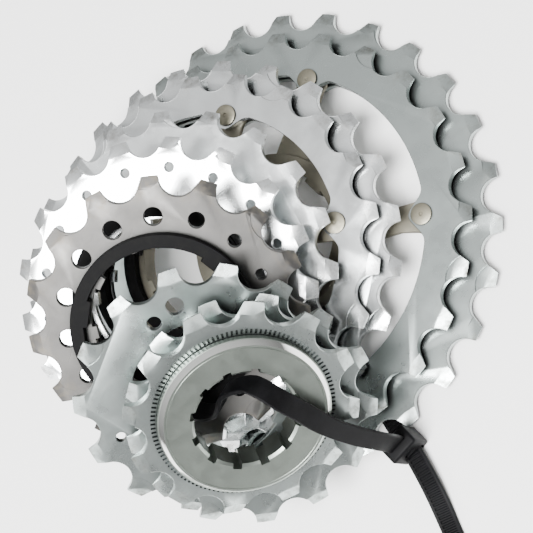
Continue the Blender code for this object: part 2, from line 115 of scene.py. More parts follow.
CLUSTERS = {
    "large": {
        "body": "large_cluster", "front": 25, "rear": 28, "front_turn": 0.1,
        "rear_turn": 5.7, "rivet_r": 40.5 * MM, "ring_r": 41.2 * MM, "arm_turn": 30.0,
        "back_head": 1.15 * MM, "finish": "satin", "ramps": [12, 84, 156, 228, 300],
    },
    "middle": {
        "body": "middle_cluster", "front": 21, "rear": 23, "front_turn": 16.0,
        "rear_turn": 10.0, "rivet_r": 34.0 * MM, "ring_r": 34.4 * MM, "arm_turn": 35.0,
        "back_head": 0.6 * MM, "finish": "bright", "ramps": [20, 110, 200, 290],
    },
}

# Single sprockets: teeth, turn about the bore in degrees, boss depth, finish, and where
# the shift ramps are, in degrees from the first tooth. The smallest has no ramps, because
# the chain never climbs onto it from a smaller one
SINGLES = {
    "sprocket_19": {"teeth": 19, "turn": 10.8, "boss": 0, "finish": "bright",
                    "ramps": [30, 150, 270]},
    "sprocket_17": {"teeth": 17, "turn": 16.4, "boss": 0, "finish": "bright",
                    "ramps": [10, 130, 250]},
    "sprocket_15": {"teeth": 15, "turn": 22.2, "boss": 0, "finish": "blasted",
                    "ramps": [60, 150, 240, 330]},
    "sprocket_14": {"teeth": 14, "turn": 5.0, "boss": 0, "finish": "satin",
                    "ramps": [100, 180, 280]},
    "sprocket_13": {"teeth": 13, "turn": 4.7, "boss": BOSS_DEPTH, "finish": "satin",
                    "ramps": [70, 190, 310]},
    "sprocket_12": {"teeth": 12, "turn": 5.1, "boss": BOSS_DEPTH, "finish": "satin",
                    "ramps": []},
}
# Punched holes: radius, radius of the circle they lie on, and degrees from a tooth
HOLES_17 = [(1.15 * MM, 29.4 * MM, 360 / 17 * i) for i in range(17)]
RADII_15 = [1.85, 2.1, 2.15, 2.2, 2.15, 2.1, 1.85, 1.55, 1.3, 1.55, 1.85, 1.55, 1.3, 1.3, 1.55]
HOLES_15 = [(radius * MM, 23.4 * MM, 24 * i) for i, radius in enumerate(RADII_15)]
TRIO_14 = [(2.1 * MM, 22.3 * MM, 53.0), (1.65 * MM, 20.9 * MM, 68.5), (1.2 * MM, 22.3 * MM, 151.0)]
HOLES_14 = TRIO_14 + [(radius, circle_r, angle + 180) for radius, circle_r, angle in TRIO_14]
PUNCHED = {"sprocket_17": HOLES_17, "sprocket_15": HOLES_15, "sprocket_14": HOLES_14}

# Spacers
SPACER_R = 21.4 * MM
SPACER_BORE_R = 18.3 * MM
SPACER_TAB_R = 17.4 * MM
SPACER_TAB_WIDTHS = [6.5 * MM] * 3
SPACER_DEPTH = 2.2 * MM

# Lockring
LOCKRING_R = 19.25 * MM
LOCKRING_HOLE_R = 11.4 * MM
LOCKRING_FLANGE = 2.6 * MM
LOCKRING_BEVEL = 1.2 * MM
LOCKRING_CHAMFER = 0.7 * MM
THREAD_R = 15.2 * MM
THREAD_DEPTH = 4.6 * MM
THREAD_PITCH = 1.0 * MM
THREAD_CUT = 0.5 * MM
NOTCH_COUNT = 12
NOTCH_WIDTH = 2.0 * MM
NOTCH_DEPTH = 1.1 * MM
SERRATION_COUNT = 120
SERRATION_R = 20.0 * MM
SERRATION_SIZE = Vector((1.1, 0.5, 0.9)) * MM

# Cable tie
STRAP_HALF_WIDTH = 2.4 * MM
STRAP_DEPTH = 1.05 * MM
RIB_HALF_WIDTH = 1.65 * MM
RIB_CUT = 0.32 * MM
RIB_PITCH = 1.1 * MM
HEAD_SIZE = Vector((7.8, 5.4, 8.4)) * MM
SLOT_SIZE = Vector((5.6, 9.4, 1.9)) * MM
SLOT_FROM_BORE = Vector((-12.4, -60.7, -0.5)) * MM
WINDOW_SIZE = Vector((3.0, 3.0, 1.6)) * MM
WINDOW_RISE = 0.8 * MM
HEAD_BELOW_SLOT = 1.75 * MM
RIB_FREE_ROWS = 60
TIP_ROWS = 20
TIP_NARROWING = 0.45

# The camera stands this far from the largest sprocket's bore, and is turned like this
CAMERA_FROM_BORE = Vector((70.9, -169.7, 327.3)) * MM
CAMERA_RIGHT = Vector((0.62816, -0.62197, -0.46750))
CAMERA_UP = Vector((0.75011, 0.64374, 0.15144))
CAMERA_LENS = 101.3
SENSOR_WIDTH = 36.0

# Studio
FLOOR_SIZE = 4.0
LIGHTS = {
    "overhead_softbox": {"at": (-0.2, -0.26, 0.9), "size": 0.45, "power": 34.0},
    "left_softbox": {"at": (-0.9, -0.2, 0.5), "size": 0.5, "power": 4.0},
}

# Painted shade in the crevices, where plates nearly touch: its colour, and how far it looks for a
# neighbouring surface
CREVICE_SHADE = "#2a2c2c"
CREVICE_SHADE_REACH = 5 * MM


def polar(radius, angle):
    return (radius * math.cos(angle), radius * math.sin(angle))


def pitch_radius(teeth):
    return CHAIN_PITCH / (2 * math.sin(math.pi / teeth))


# Places in the frame

def bore_of(body):
    """Centre of a hanging body's bore, and the way its axis leans, from its joint."""
    joint = next(j for j in frame["joints"] if j["child"] == body)
    axis = Vector(joint["axis"])
    tilt = math.atan2(-axis.y, axis.z)
    return Matrix.Translation(joint["pos_m"]) @ Matrix.Rotation(tilt, 4, "X")


def large_bore():
    low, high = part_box("large_rear_ring")
    return Matrix.Translation((low + high) / 2)


def cluster_bore(label):
    return large_bore() if label == "large" else bore_of("middle_cluster")


def turned_by(degrees):
    return Matrix.Rotation(math.radians(degrees), 4, "Z")


# Modelling by hand

def edge_width():
    return bpy.context.scene.cassette_sizes.edge


def only(obj):
    bpy.ops.object.select_all(action="DESELECT")
    obj.select_set(True)
    bpy.context.view_layer.objects.active = obj


def named(name):
    obj = bpy.context.object
    obj.name = name
    obj.data.name = name
    return obj


def settle(obj):
    """Carry the object's place, turn and scale into its mesh."""
    only(obj)
    bpy.ops.object.transform_apply(location=True, rotation=True, scale=True)


def cylinder(name, radius, low, high, steps=64, centre=(0.0, 0.0)):
    bpy.ops.object.select_all(action="DESELECT")
    bpy.ops.mesh.primitive_cylinder_add(
        vertices=steps, radius=radius, depth=high - low,
        location=(centre[0], centre[1], (low + high) / 2))
    obj = named(name)
    settle(obj)
    return obj


def block(name, size, centre):
    bpy.ops.object.select_all(action="DESELECT")
    bpy.ops.mesh.primitive_cube_add(size=1, location=centre, scale=size)
    obj = named(name)
    settle(obj)
    return obj


def extruded(name, outline, low, high):
    """Circle whose points are drawn out to an outline, then extruded upwards."""
    bpy.ops.object.select_all(action="DESELECT")
    bpy.ops.mesh.primitive_circle_add(vertices=len(outline), radius=1, fill_type="NGON")
    obj = named(name)
    for vert, (x, y) in zip(obj.data.vertices, outline):
        vert.co = (x, y, low)
    bpy.ops.object.mode_set(mode="EDIT")
    bpy.ops.mesh.select_all(action="SELECT")
    bpy.ops.mesh.extrude_region_move(
        TRANSFORM_OT_translate={"value": (0, 0, high - low)})
    bpy.ops.mesh.select_all(action="SELECT")
    bpy.ops.mesh.normals_make_consistent(inside=False)
    bpy.ops.object.mode_set(mode="OBJECT")
    return obj


def pick_faces(obj, wanted):
    """Leave the object in edit mode with only the wanted faces selected."""
    only(obj)
    bpy.ops.object.mode_set(mode="EDIT")
    bpy.ops.mesh.select_mode(type="FACE")
    bpy.ops.mesh.select_all(action="DESELECT")
    bpy.ops.object.mode_set(mode="OBJECT")
    for face in obj.data.polygons:
        face.select = wanted(face)
    bpy.ops.object.mode_set(mode="EDIT")


def done():
    bpy.ops.object.mode_set(mode="OBJECT")


def combine(obj, tool, operation="DIFFERENCE"):
    """Cut or unite. A Boolean can fail by leaving nothing, so that stops the script."""
    only(obj)
    change = obj.modifiers.new("combine", "BOOLEAN")
    change.operation = operation
    change.object = tool
    change.solver = "EXACT"
    bpy.ops.object.modifier_apply(modifier=change.name)
    bpy.data.objects.remove(tool, do_unlink=True)
    if not obj.data.polygons:
        raise RuntimeError(obj.name + " is empty after a " + operation + " cut")


def joined(parts):
    bpy.ops.object.select_all(action="DESELECT")
    for part in parts:
        part.select_set(True)
    bpy.context.view_layer.objects.active = parts[0]
    bpy.ops.object.join()
    return bpy.context.object


def ring_of(obj, count, first=0.0):
    """Copies of one shape round the bore, joined."""
    copies = []
    for i in range(count):
        copy = obj.copy()
        copy.data = obj.data.copy()
        bpy.context.collection.objects.link(copy)
        copy.matrix_world = Matrix.Rotation(first + 2 * math.pi * i / count, 4, "Z")
        copies.append(copy)
    bpy.data.objects.remove(obj, do_unlink=True)
    whole = joined(copies)
    settle(whole)
    return whole


def break_edges(obj):
    """Narrow chamfer round the front and the back of a plate drawn that much thinner."""
    width = edge_width()
    for side in (1, -1):
        pick_faces(obj, lambda face: face.normal.z * side > 0.5)
        bpy.ops.mesh.inset(thickness=width, depth=width)
        done()


def finish_piece(obj, place, body, node, materials):
    """Carry a piece to its place, shade it and tie it to the frame."""
    obj.matrix_world = place
    settle(obj)
    bpy.ops.object.shade_smooth_by_angle(angle=math.radians(32))
    obj.data.materials.clear()
    for material in materials:
        obj.data.materials.append(material)
    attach(obj, body)
    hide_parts(node)


# Outlines

def gullet_outline(teeth):
    """Room for one chain roller about +X, soft on one flank and steep on the other, and
    open over the tooth tips beside it."""
    tip_r = pitch_radius(teeth) + TIP_RISE
    seat_x = pitch_radius(teeth) + SEAT_RISE
    points = []
    for step in range(SEAT_STEPS + 1):
        share = step / SEAT_STEPS
        swing = SEAT_SWEEP_SOFT * (1 - share) - SEAT_SWEEP_STEEP * share
        x, y = polar(SEAT_R, math.pi + swing)
        points.append((seat_x + x, y))
    steep = polar(tip_r, MOUTH_STEEP / tip_r)
    soft = polar(tip_r, -MOUTH_SOFT / tip_r)
    beyond = TIP_RISE
    points += [steep, (steep[0] + beyond, steep[1]), (soft[0] + beyond, soft[1]), soft]
    return points


def tabbed_outline(radius, tab_radius, widths, steps_between=6):
    """Circle with inward tabs, one for each width, evenly spaced."""
    points = []
    count = len(widths)
    for i, width in enumerate(widths):
        middle = 2 * math.pi * i / count
        half = width / 2 / radius
        points.append(polar(radius, middle - half))
        points.append(polar(tab_radius, middle - half))
        points.append(polar(tab_radius, middle + half))
        points.append(polar(radius, middle + half))
        following = 2 * math.pi * (i + 1) / count - widths[(i + 1) % count] / 2 / radius
        for step in range(1, steps_between):
            share = step / steps_between
            angle = (middle + half) * (1 - share) + following * share
            points.append(polar(radius, angle))
    return points


def lobed_outline(ring_r, rivet_r, start):
    """Inner edge of a riveted ring: a circle that swells smoothly inwards at each rivet."""
    points = []
    sector = 2 * math.pi / ARM_COUNT
    half_lobe = LOBE_HALF_WIDTH / rivet_r
    swell = ring_r - rivet_r + LOBE_REACH
    for arm in range(ARM_COUNT):
        middle = start + sector * arm
        for step in range(LOBE_STEPS + 1):
            share = 2 * step / LOBE_STEPS - 1
            radius = ring_r - swell * (1 + math.cos(math.pi * share)) / 2
            points.append(polar(radius, middle + half_lobe * share))
        arc = sector - 2 * half_lobe
        for step in range(1, LOBE_STEPS):
            points.append(polar(ring_r, middle + half_lobe + arc * step / LOBE_STEPS))
    return points


def arm_outline(rivet_r, middle):
    """One tapering arm from inside the hub to a round pad at the rivet."""
    axis = Vector(polar(1.0, middle))
    side = Vector((-axis.y, axis.x))
    root = axis * (HUB_R - 2 * MM)
    waist = axis * (rivet_r - PAD_R - 2.0 * MM)
    pad = axis * rivet_r
    points = [root - side * ARM_ROOT_HALF_WIDTH, waist - side * ARM_TIP_HALF_WIDTH]
    for step in range(15):
        swing = math.radians(-120 + 240 * step / 14)
        points.append(pad + (axis * math.cos(swing) + side * math.sin(swing)) * PAD_R)
    points += [waist + side * ARM_TIP_HALF_WIDTH, root + side * ARM_ROOT_HALF_WIDTH]
    return [tuple(point) for point in points]


# Toothed plates

def toothed_blank(name, teeth, start, middle):
    """Turned disc with sloping rim, and a gullet cut for each chain roller."""
    tip_r = pitch_radius(teeth) + TIP_RISE
    half = PLATE / 2 - edge_width()
    rim = half - TIP_SLOPE_DEPTH
    disc = cylinder(name, tip_r, middle - rim, middle + rim, teeth * 8)
    for side in (1, -1):
        pick_faces(disc, lambda face: face.normal.z * side > 0.9)
        bpy.ops.mesh.inset(thickness=TIP_SLOPE_LENGTH, depth=TIP_SLOPE_DEPTH)
        done()
    first = start + math.pi / teeth
    gullet = extruded("gullet", gullet_outline(teeth), middle - PLATE, middle + PLATE)
    disc.matrix_world = Matrix.Rotation(start, 4, "Z")
    settle(disc)
    combine(disc, ring_of(gullet, teeth, first))
    return disc


def ground_facets(obj, teeth, start, middle):
    """Sloping facet on the front of every tooth tip, each kind twisted its own way."""
    tip_r = pitch_radius(teeth) + TIP_RISE
    lean = Matrix.Rotation(FACET_TILT, 4, "Y")
    place = Matrix.Translation((tip_r - FACET_LENGTH, 0, middle + PLATE / 2))
    tools = []
    for i in range(teeth):
        tool = block("facet", FACET_BLOCK, (FACET_BLOCK.x / 2, 0, FACET_BLOCK.z / 2))
        twist = Matrix.Rotation(FACET_TWISTS[i % len(FACET_TWISTS)], 4, "X")
        turn = Matrix.Rotation(start + 2 * math.pi * i / teeth, 4, "Z")
        tool.matrix_world = turn @ place @ twist @ lean
        settle(tool)
        tools.append(tool)
    combine(obj, joined(tools))


def shift_ramps(obj, teeth, middle, angles):
    """Shallow round pockets pressed into the front, where the chain climbs across."""
    front = middle + PLATE / 2
    tools = []
    for angle in angles:
        centre = polar(pitch_radius(teeth) + RAMP_R / 2, math.radians(angle))
        tools.append(cylinder("ramp", RAMP_R, front - RAMP_DEPTH, front + MM, 48, centre))
    combine(obj, joined(tools))


def punched(obj, holes):
    tools = []
    for radius, circle_r, angle in holes:
        centre = polar(circle_r, math.radians(angle))
        tools.append(cylinder("punch", radius, -PLATE, PLATE, 28, centre))
    combine(obj, joined(tools))


def spline_tool(low, high):
    outline = tabbed_outline(BORE_R, SPLINE_R, SPLINE_WIDTHS)
    return extruded("spline_tool", outline, low, high)


def single_sprocket(name):
    spec = SINGLES[name]
    half = PLATE / 2
    obj = toothed_blank(name + "_plate", spec["teeth"], 0.0, 0.0)
    if spec["boss"]:
        boss = cylinder("boss", BOSS_R, edge_width() - half - spec["boss"], 0.0, 96)
        combine(obj, boss, "UNION")
    if name in PUNCHED:
        punched(obj, PUNCHED[name])
    combine(obj, spline_tool(-half - spec["boss"] - MM, half + MM))
    break_edges(obj)
    if spec["ramps"]:
        shift_ramps(obj, spec["teeth"], 0.0, spec["ramps"])
    ground_facets(obj, spec["teeth"], 0.0, 0.0)
    return obj


def cluster_ring(label, end):
    spec = CLUSTERS[label]
    middle = CLUSTER_PITCH if end == "front" else 0.0
    start = math.radians(spec["arm_turn"])
    obj = toothed_blank(
        label + "_" + end, spec[end], math.radians(spec[end + "_turn"]), middle)
    inside = lobed_outline(spec["ring_r"], spec["rivet_r"], start)
    combine(obj, extruded("inside", inside, middle - PLATE, middle + PLATE))
    hole = cylinder("hole", RIVET_R + CLEAR, middle - PLATE, middle + PLATE, 24,
                    (spec["rivet_r"], 0.0))
    combine(obj, ring_of(hole, ARM_COUNT, start))
    break_edges(obj)
    shift_ramps(obj, spec[end], middle, spec["ramps"])
    ground_facets(obj, spec[end], math.radians(spec[end + "_turn"]), middle)
    return obj


def cluster_spider(label):
    spec = CLUSTERS[label]
    half = PLATE / 2
    start = math.radians(spec["arm_turn"])
    edge = edge_width()
    arm_low = half + CLEAR + edge
    arm_high = arm_low + ARM_DEPTH - 2 * edge
    hub_low = edge - half
    hub_high = CLUSTER_PITCH + half - edge
    obj = cylinder(label + "_hub", HUB_R - 0.4 * MM, hub_low, hub_high, 120)
    arm = extruded("arm", arm_outline(spec["rivet_r"], 0.0), arm_low, arm_high)
    combine(obj, ring_of(arm, ARM_COUNT, start), "UNION")
    combine(obj, spline_tool(hub_low - MM, hub_high + MM))
    hole = cylinder("hole", RIVET_R + CLEAR, arm_low - MM, arm_high + MM, 24,
                    (spec["rivet_r"], 0.0))
    combine(obj, ring_of(hole, ARM_COUNT, start))
    break_edges(obj)
    return obj


def rivet(name, back_head):
    """Round pin with a sloping head at each end, and a dimple in each head. The pin's end
    is picked by its place too, or the underside of the other head would go with it."""
    back = -PLATE / 2 - CLEAR
    front = CLUSTER_PITCH + PLATE / 2 + CLEAR
    obj = cylinder(name, RIVET_R, back, front, 40)
    for side, head in ((1, FRONT_HEAD), (-1, back_head)):
        pick_faces(obj, lambda face: (face.normal.z * side > 0.9
                                      and face.center.xy.length < RIVET_R / 2))
        bpy.ops.mesh.extrude_region_move()
        grow = RIVET_HEAD_R / RIVET_R
        bpy.ops.transform.resize(value=(grow, grow, 1), center_override=(0, 0, 0))
        bpy.ops.mesh.extrude_region_move(
            TRANSFORM_OT_translate={"value": (0, 0, side * head * HEAD_WALL_SHARE)})
        bpy.ops.mesh.inset(thickness=HEAD_SLOPE, depth=head * (1 - HEAD_WALL_SHARE))
        bpy.ops.mesh.inset(thickness=RIVET_HEAD_R - HEAD_SLOPE - DIMPLE_R, depth=0)
        bpy.ops.mesh.inset(thickness=DIMPLE_DEPTH, depth=-DIMPLE_DEPTH)
        done()
    return obj


def spacer_ring(name):
    half = SPACER_DEPTH / 2 - edge_width()
    obj = cylinder(name, SPACER_R, -half, half, 128)
    inner = tabbed_outline(SPACER_BORE_R, SPACER_TAB_R, SPACER_TAB_WIDTHS, 14)
    combine(obj, extruded("inner", inner, -SPACER_DEPTH, SPACER_DEPTH))
    break_edges(obj)
    return obj


def lockring_body():
    """Flange with a polished outer bevel over a threaded barrel, notched for the tool."""
    base = PLATE / 2 + CLEAR
    face = base + LOCKRING_FLANGE
    foot = base - THREAD_DEPTH
    obj = cylinder("lockring_piece", LOCKRING_R, base, face - LOCKRING_BEVEL, 144)
    pick_faces(obj, lambda face_: face_.normal.z > 0.9)
    bpy.ops.mesh.inset(thickness=0.25 * MM, depth=0.08 * MM)
    bpy.ops.mesh.inset(thickness=LOCKRING_BEVEL - 0.45 * MM, depth=LOCKRING_BEVEL - 0.2 * MM)
    bpy.ops.mesh.inset(thickness=0.12 * MM, depth=0.12 * MM)
    bpy.ops.mesh.inset(thickness=0.45 * MM, depth=0)
    bpy.ops.mesh.inset(thickness=0.1 * MM, depth=-0.1 * MM)
    bpy.ops.mesh.inset(thickness=0.1 * MM, depth=0.1 * MM)
    done()
    thread = cylinder("thread", THREAD_R, foot, base + 0.2 * MM, 96)
    for turn in range(int(THREAD_DEPTH / THREAD_PITCH)):
        height = foot + THREAD_PITCH * (turn + 0.5)
        outside = cylinder("groove", THREAD_R + MM, height - 0.25 * MM, height + 0.25 * MM, 96)
        combine(outside, cylinder("core", THREAD_R - THREAD_CUT, height - MM, height + MM, 96))
        combine(thread, outside)
    combine(obj, thread, "UNION")
    combine(obj, cylinder("hole", LOCKRING_HOLE_R, foot - MM, face + MM, 96))
    chamfer = cylinder("chamfer", LOCKRING_HOLE_R - 0.2 * MM, face - LOCKRING_CHAMFER,
                       face + MM, 96)
    pick_faces(chamfer, lambda face_: face_.normal.z > 0.9)
    grow = (LOCKRING_HOLE_R + LOCKRING_CHAMFER + MM) / (LOCKRING_HOLE_R - 0.2 * MM)
    bpy.ops.transform.resize(value=(grow, grow, 1), center_override=(0, 0, 0))
    done()
    combine(obj, chamfer)
    reach = NOTCH_DEPTH + 1.5 * MM
    middle = LOCKRING_HOLE_R + NOTCH_DEPTH - reach / 2
    notch = block("notch", (reach, NOTCH_WIDTH, face - foot + 2 * MM),
                  (middle, 0, (face + foot) / 2))
    combine(obj, ring_of(notch, NOTCH_COUNT))
    return obj


def serrate(obj):
    """Fine radial teeth round the lockring's seat on the smallest sprocket."""
    cut = block("serration", SERRATION_SIZE, (SERRATION_R, 0, PLATE / 2))
    combine(obj, ring_of(cut, SERRATION_COUNT))


# Cable tie

def on_piece(body, side, slope, lift):
    """Point in a hanging piece's own level frame, as a point of the whole object."""
    return bore_of(body) @ (Vector((side, slope, lift)) * MM)


def strap_stations():
    """Middle line of the strap and the direction across it, station by station."""
    across = Vector((1, 0, 0))
    leaning = Vector((0.8, 0.35, -0.5))
    turned_in = Vector((0.63, 0.45, -0.63))
    bore = large_bore().translation
    slot = bore + SLOT_FROM_BORE
    root = slot + Vector((0, 0, HEAD_SIZE.z - HEAD_BELOW_SLOT))
    under = -(PLATE / 2 + CLEAR + STRAP_DEPTH / 2) / MM
    front = (PLATE / 2 + CLEAR + LOCKRING_FLANGE) / MM

    def near(start, x, y, z):
        return start + Vector((x, y, z)) * MM

    return [
        (near(root, 0.0, 0.0, -1.5), across),
        (near(root, 0.0, 0.0, 1.0), across),
        (near(root, 0.4, -0.4, 5.0), across),
        (near(root, 0.4, -0.2, 10.5), across),
        (near(root, -0.7, 2.1, 17.9), across),
        (on_piece("sprocket_12", 9.4, -15.0, front + 2.4), across),
        (on_piece("sprocket_12", 9.3, -6.1, front + 3.9), leaning),
        (on_piece("sprocket_12", 9.0, -0.4, front + 3.9), leaning),
        (on_piece("sprocket_12", 8.2, 3.4, front + 1.9), leaning),
        (on_piece("sprocket_12", 6.2, 4.9, front - 1.6), turned_in),
        (on_piece("sprocket_12", 1.0, 5.6, front - 5.4), turned_in),
        (on_piece("sprocket_13", -4.4, 6.6, -0.5), turned_in),
        (on_piece("sprocket_14", -5.4, 0.6, -0.5), leaning),
        (on_piece("sprocket_15", -7.0, -7.0, 0.0), across),
        (on_piece("sprocket_17", -2.0, -9.6, 0.0), across),
        (on_piece("sprocket_19", 3.0, -10.4, 0.0), across),
        (on_piece("middle_cluster", 3.6, -11.2, 3.0), across),
        (on_piece("middle_cluster", 4.4, -11.8, -3.0), across),
        (near(bore, -5.9, -9.4, 3.4), across),
        (near(bore, -5.7, -10.6, 0.0), across),
        (near(bore, -5.7, -13.4, under + 0.05), across),
        (near(bore, -6.0, -18.0, under), across),
        (near(bore, -6.6, -28.0, under), across),
        (near(bore, -7.6, -39.0, under), across),
        (near(bore, -10.4, -50.0, under), across),
        (near(bore, -11.8, -56.0, under), across),
        (near(slot, 0.3, 2.7, -0.4), across),
        (slot, across),
        (near(slot, -0.3, -2.7, 0.2), across),
        (near(bore, -15.2, -72.0, -0.7), across),
        (near(bore, -18.4, -80.0, under), across),
        (near(bore, -22.0, -89.0, under), across),
        (near(bore, -25.6, -97.0, under), across),
    ]


def blend_quad(quad, t):
    a, b, c, d = quad
    return 0.5 * (2 * b + (c - a) * t + (2 * a - 5 * b + 4 * c - d) * t ** 2
                  + (3 * b - a - 3 * c + d) * t ** 3)


def smooth_route(stations, spacing):
    route = []
    last = len(stations) - 1
    for i in range(last):
        quad = [stations[min(max(i + k, 0), last)] for k in (-1, 0, 1, 2)]
        length = (quad[2][0] - quad[1][0]).length
        steps = max(1, round(length / spacing))
        for step in range(steps):
            t = step / steps
            route.append(tuple(blend_quad([q[k] for q in quad], t) for k in (0, 1)))
    route.append(stations[last])
    return route


def strap_section(cut):
    """Cross-section of the strap as (across, out), whose ribbed side is cut this deep."""
    half = STRAP_DEPTH / 2
    soft = 0.18 * MM
    wide = STRAP_HALF_WIDTH
    rail = RIB_HALF_WIDTH
    return [
        (-wide, half - soft), (-wide, soft - half), (soft - wide, -half),
        (wide - soft, -half), (wide, soft - half), (wide, half - soft),
        (wide - soft, half), (rail, half), (rail - soft, half - cut),
        (soft - rail, half - cut), (-rail, half), (soft - wide, half),
    ]


def strap():
    """Moulded strip, smooth on its outer side and ribbed between two rails inside. A
    grid's rows follow the route, and its columns wrap round the cross-section."""
    rib_cut = bpy.context.scene.cassette_sizes.rib_cut
    route = smooth_route(strap_stations(), RIB_PITCH / 4)
    sides = len(strap_section(0.0))
    rows = len(route)
    bpy.ops.object.select_all(action="DESELECT")
    bpy.ops.mesh.primitive_grid_add(x_subdivisions=sides, y_subdivisions=rows - 1)
    obj = named("tie_strap")
    for i, (point, width_hint) in enumerate(route):
        ahead = route[min(i + 1, rows - 1)][0]
        behind = route[max(i - 1, 0)][0]
        tangent = (ahead - behind).normalized()
        across = (width_hint - tangent * width_hint.dot(tangent)).normalized()
        out = tangent.cross(across)
        ribbed = RIB_FREE_ROWS < i < rows - TIP_ROWS
        cut = rib_cut if ribbed and i % 4 in (1, 2) else 0.0
        narrow = 1 - TIP_NARROWING * max(0, i - rows + TIP_ROWS) / TIP_ROWS
        for j in range(sides + 1):
            u, v = strap_section(cut)[j % sides]
            spot = point + across * (u * narrow) + out * v
            obj.data.vertices[i * (sides + 1) + j].co = spot
    bpy.ops.object.mode_set(mode="EDIT")
    bpy.ops.mesh.select_all(action="SELECT")
    bpy.ops.mesh.remove_doubles(threshold=0.001 * MM)
    bpy.ops.mesh.fill_holes(sides=0)
    bpy.ops.mesh.select_all(action="SELECT")
    bpy.ops.mesh.normals_make_consistent(inside=False)
    done()
    return obj


def soften(obj, width, segments=3, angle=40):
    only(obj)
    bevel = obj.modifiers.new("soften", "BEVEL")
    bevel.width = width
    bevel.segments = segments
    bevel.limit_method = "ANGLE"
    bevel.angle_limit = math.radians(angle)
    bpy.ops.object.modifier_apply(modifier=bevel.name)


def tie_head():
    """Boxy locking head, with the pawl's window in its outer end."""
    slot = large_bore().translation + SLOT_FROM_BORE
    middle = slot + Vector((0, 0, HEAD_SIZE.z / 2 - HEAD_BELOW_SLOT))
    obj = block("tie_head", HEAD_SIZE, middle)
    soften(obj, 0.7 * MM)
    combine(obj, block("slot", SLOT_SIZE, slot))
    back = middle + Vector((0, -HEAD_SIZE.y / 2, WINDOW_RISE))
    combine(obj, block("window", WINDOW_SIZE, back))
    return obj


def cable_tie_piece():
    obj = strap()
    combine(obj, tie_head(), "UNION")
    obj.name = "tie_moulding"
    return obj


# Materials

def linear(hex_colour):
    """sRGB hex colour as the linear colour that shaders take."""
    channels = [int(hex_colour[i:i + 2], 16) / 255 for i in (1, 3, 5)]
    turned = [c / 12.92 if c <= 0.04045 else ((c + 0.055) / 1.055) ** 2.4 for c in channels]
    return (*turned, 1.0)


def add_node(tree, kind, inputs=None, **settings):
    """Add one node with its settings, and link or set each of its inputs."""
    node = tree.nodes.new(kind)
    for name, value in settings.items():
        setattr(node, name, value)
    for key, value in (inputs or {}).items():
        if isinstance(value, bpy.types.NodeSocket):
            tree.links.new(value, node.inputs[key])
        else:
            node.inputs[key].default_value = value
    return node


def new_material(name):
    made = bpy.data.materials.new(name)
    made.use_nodes = True
    tree = made.node_tree
    shader = tree.nodes["Principled BSDF"]
    return made, tree, shader


def piece_coordinates(tree, place):
    """Object coordinates brought to the piece's own bore, lying level."""
    spot = add_node(tree, "ShaderNodeTexCoord").outputs["Object"]
    centred = add_node(
        tree, "ShaderNodeMapping",
        {"Vector": spot, "Location": place.translation, "Rotation": place.to_euler()},
        vector_type="TEXTURE")
    return centred.outputs["Vector"]


def oiled_crevices(tree, colour):
    """The same colour, darkened by painted shade where plates nearly touch."""
    open_sky = add_node(tree, "ShaderNodeAmbientOcclusion", {"Distance": CREVICE_SHADE_REACH},
                        samples=8)
    # Painted shade: the less open the surface is, the more its colour is darkened
    shade_share = add_node(tree, "ShaderNodeMapRange",
                   {"Value": open_sky.outputs["AO"], "From Min": 0.25, "From Max": 0.85,
                    "To Min": 0.9, "To Max": 0.0})
    shaded_colour = add_node(tree, "ShaderNodeMix",
                     {0: shade_share.outputs[0], 6: colour, 7: linear(CREVICE_SHADE)}, data_type="RGBA")
    return shaded_colour.outputs[2]


